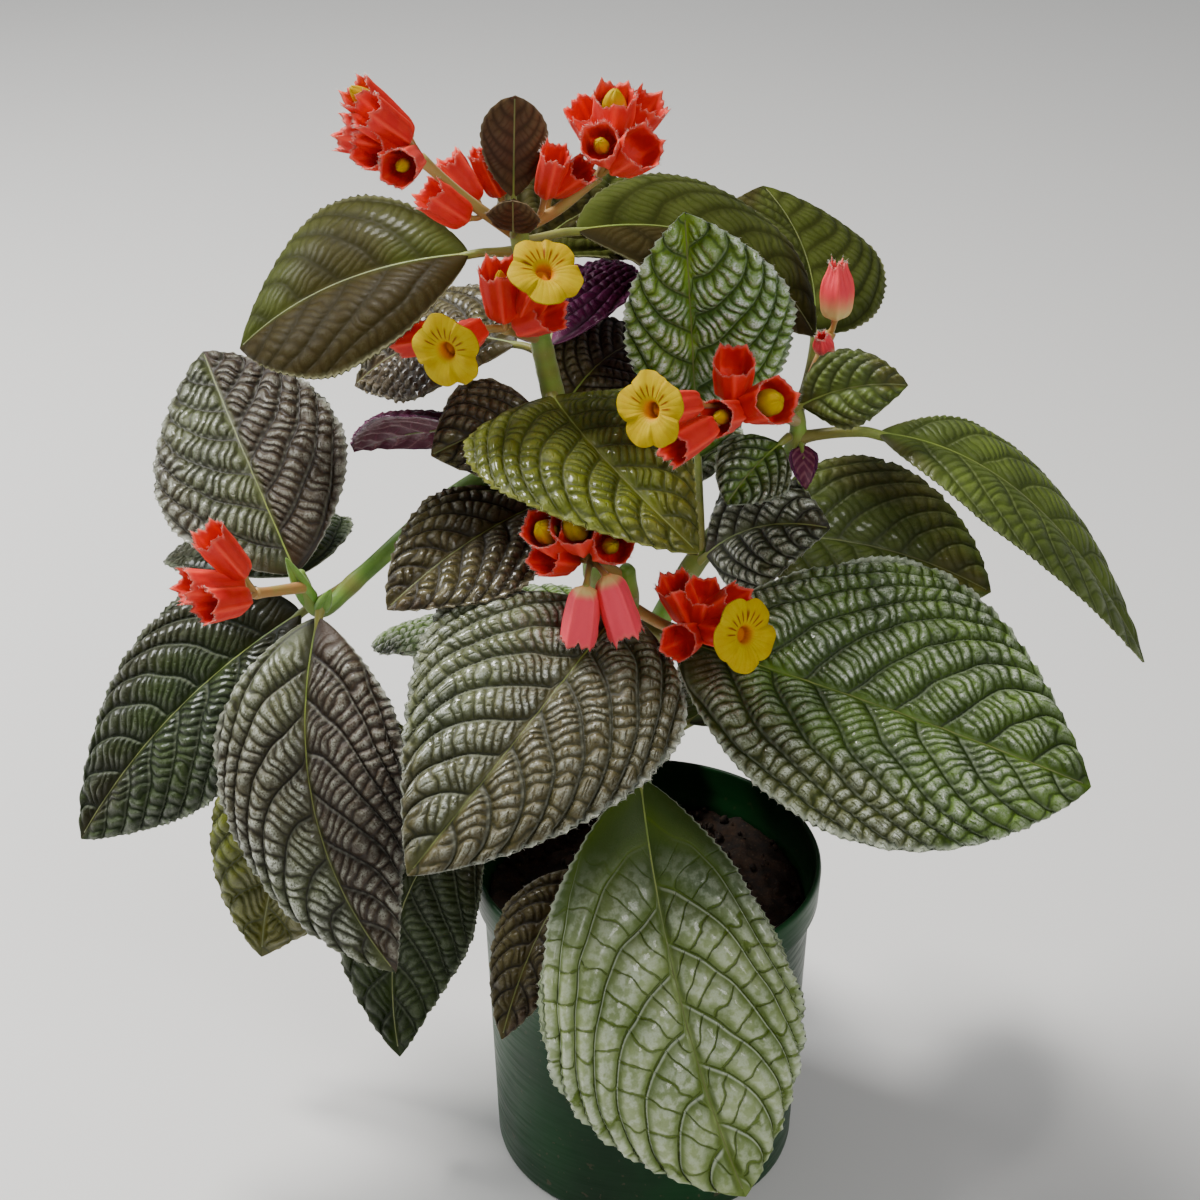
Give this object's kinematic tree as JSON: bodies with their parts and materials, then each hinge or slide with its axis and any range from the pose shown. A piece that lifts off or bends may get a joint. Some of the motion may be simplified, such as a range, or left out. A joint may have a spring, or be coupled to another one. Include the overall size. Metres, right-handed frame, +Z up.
{
  "type": "potted chrysothemis pulchella",
  "caption": "Leafy flowering house plant with quilted toothed leaves and red calyces with yellow flowers, rooted in a round nursery pot.",
  "frame": {"origin": "centre of the pot's underside", "axes": "+Z up along the pot's axis, -Y towards the plant's front"},
  "size_m": [0.2913, 0.1937, 0.3339],
  "materials": {
    "pot": "dark green moulded plastic, satin",
    "soil": "damp crumbly potting mix",
    "stem": "soft green stem with short hairs",
    "leaf_green": "quilted green leaf with a soft gloss",
    "leaf_bronze": "quilted bronze-green leaf with a soft gloss",
    "leaf_young": "yellow-green young leaf with a soft gloss",
    "leaf_pale": "silvery green leaf with raised pale veins",
    "calyx": "orange-red velvety calyx with raised ribs",
    "corolla": "soft yellow petals with brown-red streaks in the throat"
  },
  "bodies": {
    "root": {"bud_front_1": "corolla", "bud_front_2": "corolla", "bud_front_3": "corolla", "bud_right_1": "corolla", "bud_right_2": "corolla", "bud_top_left_1": "corolla", "bud_top_left_2": "corolla", "bud_top_right_1": "corolla", "bud_top_right_2": "corolla", "bud_upper_1": "corolla", "flower_front_right_1": "corolla", "flower_right_3": "corolla", "flower_upper_2": "corolla", "flower_upper_3": "corolla", "flowers_front": "calyx", "flowers_front_right": "calyx", "flowers_left": "calyx", "flowers_right": "calyx", "flowers_right_late": "calyx", "flowers_top_left": "calyx", "flowers_top_right": "calyx", "flowers_upper": "calyx", "leaf_back_centre": "leaf_green", "leaf_back_left": "leaf_green", "leaf_back_left_high": "leaf_bronze", "leaf_back_left_mid": "leaf_bronze", "leaf_back_low": "leaf_green", "leaf_back_right": "leaf_green", "leaf_back_right_high": "leaf_bronze", "leaf_centre": "leaf_bronze", "leaf_centre_left": "leaf_bronze", "leaf_centre_young": "leaf_young", "leaf_front_low": "leaf_pale", "leaf_inner_left": "leaf_bronze", "leaf_left_back": "leaf_green", "leaf_left_far": "leaf_green", "leaf_left_hanging": "leaf_bronze", "leaf_left_upper": "leaf_bronze", "leaf_low_front": "leaf_bronze", "leaf_low_hanging": "leaf_green", "leaf_low_left": "leaf_young", "leaf_right_back": "leaf_bronze", "leaf_right_behind": "leaf_green", "leaf_right_inner": "leaf_green", "leaf_right_large": "leaf_green", "leaf_right_long": "leaf_green", "leaf_right_silver": "leaf_bronze", "leaf_right_small": "leaf_green", "leaf_right_upright": "leaf_green", "leaf_top_back": "leaf_green", "leaf_top_left": "leaf_green", "leaf_top_right": "leaf_green", "leaf_young_short": "leaf_bronze", "leaf_young_tall": "leaf_bronze", "pot": "pot", "soil": "soil", "stem": "stem", "leaf_right_purple": "leaf_bronze", "leaf_back_right_mid": "leaf_bronze"}
  },
  "joints": []
}
